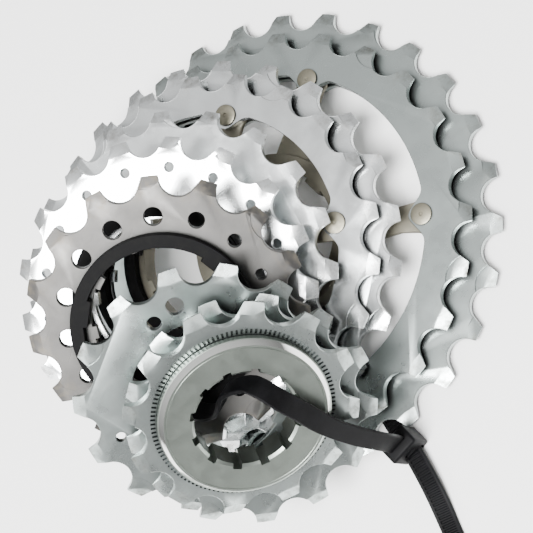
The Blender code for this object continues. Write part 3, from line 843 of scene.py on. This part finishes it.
def plated_steel(name, place, clean, dull, grime, roughness, root_r, grit_mm=0.35):
    """Nickel-plated steel plate, stamped and barrel-finished: a soft metal sheen with
    cloudy patches, fine handling scratches, and chain grime that gathers at the teeth."""
    made, tree, shader = new_material(name)
    spot = piece_coordinates(tree, place)
    clouds = add_node(tree, "ShaderNodeTexNoise",
                      {"Vector": spot, "Scale": 1 / (9 * MM), "Detail": 5.0, "Roughness": 0.6})
    grit = add_node(tree, "ShaderNodeTexNoise",
                    {"Vector": spot, "Scale": 1 / (grit_mm * MM), "Detail": 3.0,
                     "Roughness": 0.7})
    stretched = add_node(tree, "ShaderNodeMapping",
                         {"Vector": spot, "Rotation": (0, 0, math.radians(33)),
                          "Scale": (1, 14, 1)})
    scratches = add_node(tree, "ShaderNodeTexNoise",
                         {"Vector": stretched.outputs[0], "Scale": 1 / (3.5 * MM),
                          "Detail": 2.0, "Roughness": 0.5})
    fine_lines = add_node(tree, "ShaderNodeMapRange",
                          {"Value": scratches.outputs[0], "From Min": 0.62, "From Max": 0.72,
                           "To Min": 0.0, "To Max": 1.0})
    flat = add_node(tree, "ShaderNodeVectorMath", {0: spot, 1: (1, 1, 0)},
                    operation="MULTIPLY")
    radius = add_node(tree, "ShaderNodeVectorMath", {0: flat.outputs[0]}, operation="LENGTH")
    outward = add_node(tree, "ShaderNodeMapRange",
                       {"Value": radius.outputs["Value"], "From Min": root_r - 1.5 * MM,
                        "From Max": root_r + 5 * MM, "To Min": 0.0, "To Max": 1.0})
    stains = add_node(tree, "ShaderNodeTexNoise",
                      {"Vector": spot, "Scale": 1 / (2.6 * MM), "Detail": 6.0,
                       "Roughness": 0.68})
    patches = add_node(tree, "ShaderNodeMapRange",
                       {"Value": stains.outputs[0], "From Min": 0.46, "From Max": 0.72,
                        "To Min": 0.0, "To Max": 1.0})
    dirt = add_node(tree, "ShaderNodeMath",
                    {0: outward.outputs[0], 1: patches.outputs[0]}, operation="MULTIPLY")
    tone = add_node(tree, "ShaderNodeMix",
                    {0: clouds.outputs[0], 6: linear(clean), 7: linear(dull)},
                    data_type="RGBA")
    colour = add_node(tree, "ShaderNodeMix",
                      {0: dirt.outputs[0], 6: tone.outputs[2], 7: linear(grime)},
                      data_type="RGBA")
    # Painted shade darkens the colour where neighbouring plates enclose the surface
    tree.links.new(oiled_crevices(tree, colour.outputs[2]), shader.inputs["Base Color"])
    sheen = add_node(tree, "ShaderNodeMapRange",
                     {"Value": clouds.outputs[0], "From Min": 0.3, "From Max": 0.7,
                      "To Min": roughness - 0.05, "To Max": roughness + 0.07})
    rough = add_node(tree, "ShaderNodeMath",
                     {0: dirt.outputs[0], 1: 0.28, 2: sheen.outputs[0]},
                     operation="MULTIPLY_ADD")
    tree.links.new(rough.outputs[0], shader.inputs["Roughness"])
    relief = add_node(tree, "ShaderNodeMath",
                      {0: fine_lines.outputs[0], 1: -0.5, 2: grit.outputs[0]},
                      operation="MULTIPLY_ADD")
    bump = add_node(tree, "ShaderNodeBump",
                    {"Height": relief.outputs[0], "Strength": 0.12, "Distance": 0.03 * MM})
    tree.links.new(bump.outputs[0], shader.inputs["Normal"])
    shader.inputs["Metallic"].default_value = 1.0
    return made


def blasted_steel(name, place, root_r):
    """Heat-treated steel, bead-blasted and bare: a darker grey than the plated ones, with
    a coarser grain and less gloss."""
    made = plated_steel(name, place, "#5d5c5a", "#444342", "#6f685c", 0.42, root_r, 0.3)
    tree = made.node_tree
    bump = next(n for n in tree.nodes if n.type == "BUMP")
    bump.inputs["Strength"].default_value = 0.4
    return made


def anodised_alloy(name, place):
    """Forged aluminium spider, hard-anodised warm grey: dull, cloudy and finely pored."""
    made, tree, shader = new_material(name)
    spot = piece_coordinates(tree, place)
    clouds = add_node(tree, "ShaderNodeTexNoise",
                      {"Vector": spot, "Scale": 1 / (6 * MM), "Detail": 6.0, "Roughness": 0.62})
    pores = add_node(tree, "ShaderNodeTexNoise",
                     {"Vector": spot, "Scale": 1 / (0.4 * MM), "Detail": 2.0})
    colour = add_node(tree, "ShaderNodeMix",
                      {0: clouds.outputs[0], 6: linear("#8e8a7c"), 7: linear("#67645a")},
                      data_type="RGBA")
    tree.links.new(colour.outputs[2], shader.inputs["Base Color"])
    rough = add_node(tree, "ShaderNodeMapRange",
                     {"Value": clouds.outputs[0], "To Min": 0.38, "To Max": 0.6})
    tree.links.new(rough.outputs[0], shader.inputs["Roughness"])
    bump = add_node(tree, "ShaderNodeBump",
                    {"Height": pores.outputs[0], "Strength": 0.2, "Distance": 0.03 * MM})
    tree.links.new(bump.outputs[0], shader.inputs["Normal"])
    shader.inputs["Metallic"].default_value = 1.0
    return made


def rivet_metal():
    """Zinc-chromated steel rivet: grey-tan and faintly clouded."""
    made, tree, shader = new_material("zinc_chromated_rivet")
    spot = add_node(tree, "ShaderNodeTexCoord").outputs["Object"]
    clouds = add_node(tree, "ShaderNodeTexNoise",
                      {"Vector": spot, "Scale": 1 / (1.2 * MM), "Detail": 4.0})
    colour = add_node(tree, "ShaderNodeMix",
                      {0: clouds.outputs[0], 6: linear("#9c9888"), 7: linear("#6c685a")},
                      data_type="RGBA")
    tree.links.new(colour.outputs[2], shader.inputs["Base Color"])
    rough = add_node(tree, "ShaderNodeMapRange",
                     {"Value": clouds.outputs[0], "To Min": 0.35, "To Max": 0.55})
    tree.links.new(rough.outputs[0], shader.inputs["Roughness"])
    shader.inputs["Metallic"].default_value = 1.0
    return made


def turned_steel(name, place, light, shade, roughness):
    """Plated steel turned on a lathe: rings that follow the bore, a groove's width
    apart, under a satin sheen."""
    made, tree, shader = new_material(name)
    spot = piece_coordinates(tree, place)
    flat = add_node(tree, "ShaderNodeVectorMath", {0: spot, 1: (1, 1, 0)},
                    operation="MULTIPLY")
    radius = add_node(tree, "ShaderNodeVectorMath", {0: flat.outputs[0]}, operation="LENGTH")
    rings = add_node(tree, "ShaderNodeTexNoise",
                     {"W": radius.outputs["Value"], "Scale": 1 / (0.25 * MM), "Detail": 2.0},
                     noise_dimensions="1D")
    clouds = add_node(tree, "ShaderNodeTexNoise",
                      {"Vector": spot, "Scale": 1 / (4 * MM), "Detail": 6.0, "Roughness": 0.65})
    colour = add_node(tree, "ShaderNodeMix",
                      {0: clouds.outputs[0], 6: linear(light), 7: linear(shade)},
                      data_type="RGBA")
    tree.links.new(colour.outputs[2], shader.inputs["Base Color"])
    rough = add_node(tree, "ShaderNodeMapRange",
                     {"Value": clouds.outputs[0], "From Min": 0.3, "From Max": 0.7,
                      "To Min": roughness - 0.06, "To Max": roughness + 0.06})
    tree.links.new(rough.outputs[0], shader.inputs["Roughness"])
    bump = add_node(tree, "ShaderNodeBump",
                    {"Height": rings.outputs[0], "Strength": 0.12, "Distance": 0.02 * MM})
    tree.links.new(bump.outputs[0], shader.inputs["Normal"])
    shader.inputs["Metallic"].default_value = 1.0
    return made


def moulded_plastic(name, base, scuffed, roughness, grain_mm):
    """Injection-moulded black plastic: spark-eroded grain, and greyer where scuffed."""
    made, tree, shader = new_material(name)
    spot = add_node(tree, "ShaderNodeTexCoord").outputs["Object"]
    grain = add_node(tree, "ShaderNodeTexNoise",
                     {"Vector": spot, "Scale": 1 / (grain_mm * MM), "Detail": 3.0})
    scuffs = add_node(tree, "ShaderNodeTexNoise",
                      {"Vector": spot, "Scale": 1 / (3 * MM), "Detail": 7.0, "Roughness": 0.7})
    worn = add_node(tree, "ShaderNodeMapRange",
                    {"Value": scuffs.outputs[0], "From Min": 0.45, "From Max": 0.75})
    colour = add_node(tree, "ShaderNodeMix",
                      {0: worn.outputs[0], 6: linear(base), 7: linear(scuffed)},
                      data_type="RGBA")
    tree.links.new(colour.outputs[2], shader.inputs["Base Color"])
    rough = add_node(tree, "ShaderNodeMapRange",
                     {"Value": scuffs.outputs[0], "To Min": roughness - 0.08,
                      "To Max": roughness + 0.12})
    tree.links.new(rough.outputs[0], shader.inputs["Roughness"])
    bump = add_node(tree, "ShaderNodeBump",
                    {"Height": grain.outputs[0], "Strength": 0.25, "Distance": 0.04 * MM})
    tree.links.new(bump.outputs[0], shader.inputs["Normal"])
    shader.inputs["IOR"].default_value = 1.5
    shader.inputs["Specular IOR Level"].default_value = 0.08
    return made


# Plate finishes: clean metal, dull metal, chain grime and roughness
FINISHES = {
    "satin": ("#bec6c4", "#98a09e", "#4c463c", 0.28),
    "bright": ("#f2f4f4", "#d2d7d8", "#5f584c", 0.22),
}


def plate_material(name, place, finish, teeth):
    root_r = pitch_radius(teeth) + SEAT_RISE - SEAT_R
    if finish == "blasted":
        return blasted_steel("blasted_steel_" + name, place, root_r)
    clean, dull, grime, roughness = FINISHES[finish]
    return plated_steel("nickel_plate_" + name, place, clean, dull, grime, roughness, root_r)


# Operators

class CassetteSizes(bpy.types.PropertyGroup):
    """Sizes that a user would change."""
    edge: bpy.props.FloatProperty(
        name="Edge", description="Chamfer round each stamped plate", default=EDGE,
        min=0.0, unit="LENGTH")
    rib_cut: bpy.props.FloatProperty(
        name="Rib depth", description="Depth of the cross ribs on the tie", default=RIB_CUT,
        min=0.0, unit="LENGTH")


class CassetteColours(bpy.types.PropertyGroup):
    """Colours that a user would change."""
    floor: bpy.props.FloatVectorProperty(
        name="Floor", description="Colour of the studio floor", subtype="COLOR", size=4,
        default=linear("#fbfbfa"), min=0.0, max=1.0)


class CASSETTE_OT_single_sprockets(bpy.types.Operator):
    """Cut the six single sprockets and hang each on its own bore"""
    bl_idname = "cassette.single_sprockets"
    bl_label = "Single sprockets"

    def execute(self, context):
        for name, spec in SINGLES.items():
            place = bore_of(name) @ turned_by(spec["turn"])
            obj = single_sprocket(name)
            if name == "sprocket_12":
                serrate(obj)
            look = plate_material(name, place, spec["finish"], spec["teeth"])
            finish_piece(obj, place, name, name, [look])
        return {"FINISHED"}


class CASSETTE_OT_clusters(bpy.types.Operator):
    """Build the two riveted clusters: two rings, a spider and five rivets each"""
    bl_idname = "cassette.clusters"
    bl_label = "Riveted clusters"

    def execute(self, context):
        rivet_look = rivet_metal()
        for label, spec in CLUSTERS.items():
            place = cluster_bore(label)
            body = spec["body"]
            for end in ("rear", "front"):
                node = label + "_" + end + "_ring"
                look = plate_material(node, place, spec["finish"], spec[end])
                finish_piece(cluster_ring(label, end), place, body, node, [look])
            node = label + "_spider"
            look = anodised_alloy("anodised_alloy_" + label, place)
            finish_piece(cluster_spider(label), place, body, node, [look])
            for i in range(ARM_COUNT):
                node = label + "_rivet_" + str(i + 1)
                angle = math.radians(spec["arm_turn"]) + 2 * math.pi * i / ARM_COUNT
                spot = Matrix.Translation((*polar(spec["rivet_r"], angle), 0))
                obj = rivet(node + "_pin", spec["back_head"])
                finish_piece(obj, place @ spot, body, node, [rivet_look])
        return {"FINISHED"}


class CASSETTE_OT_spacers(bpy.types.Operator):
    """Mould the four plastic spacers"""
    bl_idname = "cassette.spacers"
    bl_label = "Spacers"

    def execute(self, context):
        look = moulded_plastic("moulded_acetal", "#070708", "#121211", 0.6, 0.3)
        for i in range(1, 5):
            node = "spacer_" + str(i)
            obj = spacer_ring(node + "_moulding")
            finish_piece(obj, bore_of(node), node, node, [look])
        return {"FINISHED"}


class CASSETTE_OT_lockring(bpy.types.Operator):
    """Turn the lockring with its thread, bevel and tool notches"""
    bl_idname = "cassette.lockring"
    bl_label = "Lockring"

    def execute(self, context):
        place = bore_of("lockring")
        satin = turned_steel("turned_nickel_face", place, "#9ca39c", "#7f867f", 0.34)
        polished = turned_steel("polished_nickel_bevel", place, "#f0f1ee", "#dcdeda", 0.12)
        obj = lockring_body()
        finish_piece(obj, place, "lockring", "lockring",
                     [satin, polished])
        axis = place.to_3x3() @ Vector((0, 0, 1))
        for face in obj.data.polygons:
            sloping = 0.3 < face.normal.dot(axis) < 0.9
            outer = (place.inverted() @ face.center).xy.length > LOCKRING_R - 1.5 * MM
            face.material_index = 1 if sloping and outer else 0
        return {"FINISHED"}


class CASSETTE_OT_cable_tie(bpy.types.Operator):
    """Mould the cable tie: ribbed strap and locking head"""
    bl_idname = "cassette.cable_tie"
    bl_label = "Cable tie"

    def execute(self, context):
        look = moulded_plastic("moulded_nylon", "#060607", "#0e0e10", 0.5, 0.5)
        obj = cable_tie_piece()
        finish_piece(obj, Matrix.Identity(4), "large_cluster",
                     "cable_tie", [look])
        return {"FINISHED"}


class CASSETTE_OT_stage(bpy.types.Operator):
    """Lay the pale floor, and set the soft lights and the camera"""
    bl_idname = "cassette.stage"
    bl_label = "Stage"

    def execute(self, context):
        bpy.ops.object.select_all(action="DESELECT")
        bpy.ops.mesh.primitive_plane_add(size=FLOOR_SIZE)
        floor = named("studio_floor")
        floor.data.materials.append(floor_paper())
        for name, spec in LIGHTS.items():
            area_light(name, spec)
        studio_world()
        studio_camera()
        return {"FINISHED"}


def floor_paper():
    """Seamless white background paper, matt, with a faint tooth."""
    made, tree, shader = new_material("background_paper")
    spot = add_node(tree, "ShaderNodeTexCoord").outputs["Object"]
    tooth = add_node(tree, "ShaderNodeTexNoise",
                     {"Vector": spot, "Scale": 1 / (0.8 * MM), "Detail": 2.0})
    bump = add_node(tree, "ShaderNodeBump",
                    {"Height": tooth.outputs[0], "Strength": 0.1, "Distance": 0.05 * MM})
    tree.links.new(bump.outputs[0], shader.inputs["Normal"])
    shader.inputs["Base Color"].default_value = bpy.context.scene.cassette_colours.floor
    shader.inputs["Roughness"].default_value = 0.9
    return made


def area_light(name, spec):
    at = Vector(spec["at"])
    bpy.ops.object.select_all(action="DESELECT")
    bpy.ops.object.light_add(type="AREA", location=at)
    light = bpy.context.object
    light.name = name
    light.data.size = spec["size"]
    light.data.energy = spec["power"]
    light.rotation_euler = (-at).to_track_quat("-Z", "Y").to_euler()


def studio_world():
    """White tent: bright overhead and dim round the sides."""
    world = bpy.data.worlds.new("light_tent")
    bpy.context.scene.world = world
    world.use_nodes = True
    tree = world.node_tree
    tree.nodes.clear()
    spot = add_node(tree, "ShaderNodeTexCoord").outputs["Generated"]
    parts = add_node(tree, "ShaderNodeSeparateXYZ", {0: spot})
    height = add_node(tree, "ShaderNodeMapRange",
                      {"Value": parts.outputs["Z"], "From Min": -0.05, "From Max": 0.95,
                       "To Min": 0.2, "To Max": 0.95})
    shade = add_node(tree, "ShaderNodeBackground",
                     {"Color": linear("#ffffff"), "Strength": height.outputs[0]})
    add_node(tree, "ShaderNodeOutputWorld", {"Surface": shade.outputs[0]})


def studio_camera():
    """Looks down on the cluster from the open side of the lockring."""
    bore = large_bore().translation
    bpy.ops.object.select_all(action="DESELECT")
    bpy.ops.object.camera_add(location=bore + CAMERA_FROM_BORE)
    camera = bpy.context.object
    camera.name = "studio_camera"
    back = CAMERA_RIGHT.cross(CAMERA_UP)
    turn = Matrix((CAMERA_RIGHT, CAMERA_UP, back)).transposed()
    camera.rotation_euler = turn.to_euler()
    camera.data.sensor_width = SENSOR_WIDTH
    camera.data.lens = CAMERA_LENS
    camera.data.clip_start = 0.01
    bpy.context.scene.camera = camera


class CASSETTE_PT_pieces(bpy.types.Panel):
    """The pieces of the cassette, and its stage"""
    bl_idname = "CASSETTE_PT_pieces"
    bl_label = "Loose cassette"
    bl_space_type = "VIEW_3D"
    bl_region_type = "UI"
    bl_category = "Cassette"

    def draw(self, context):
        layout = self.layout
        for operator in OPERATORS:
            layout.operator(operator.bl_idname)
        layout.prop(context.scene.cassette_sizes, "edge")
        layout.prop(context.scene.cassette_sizes, "rib_cut")
        layout.prop(context.scene.cassette_colours, "floor")


OPERATORS = [
    CASSETTE_OT_single_sprockets,
    CASSETTE_OT_clusters,
    CASSETTE_OT_spacers,
    CASSETTE_OT_lockring,
    CASSETTE_OT_cable_tie,
    CASSETTE_OT_stage,
]
CLASSES = [CassetteSizes, CassetteColours, *OPERATORS, CASSETTE_PT_pieces]


def register():
    for item in CLASSES:
        bpy.utils.register_class(item)
    bpy.types.Scene.cassette_sizes = bpy.props.PointerProperty(type=CassetteSizes)
    bpy.types.Scene.cassette_colours = bpy.props.PointerProperty(type=CassetteColours)


def unregister():
    del bpy.types.Scene.cassette_colours
    del bpy.types.Scene.cassette_sizes
    for item in reversed(CLASSES):
        bpy.utils.unregister_class(item)


def main():
    register()
    bpy.ops.cassette.single_sprockets()
    bpy.ops.cassette.clusters()
    bpy.ops.cassette.spacers()
    bpy.ops.cassette.lockring()
    bpy.ops.cassette.cable_tie()
    bpy.ops.cassette.stage()


if __name__ == "__main__":
    main()
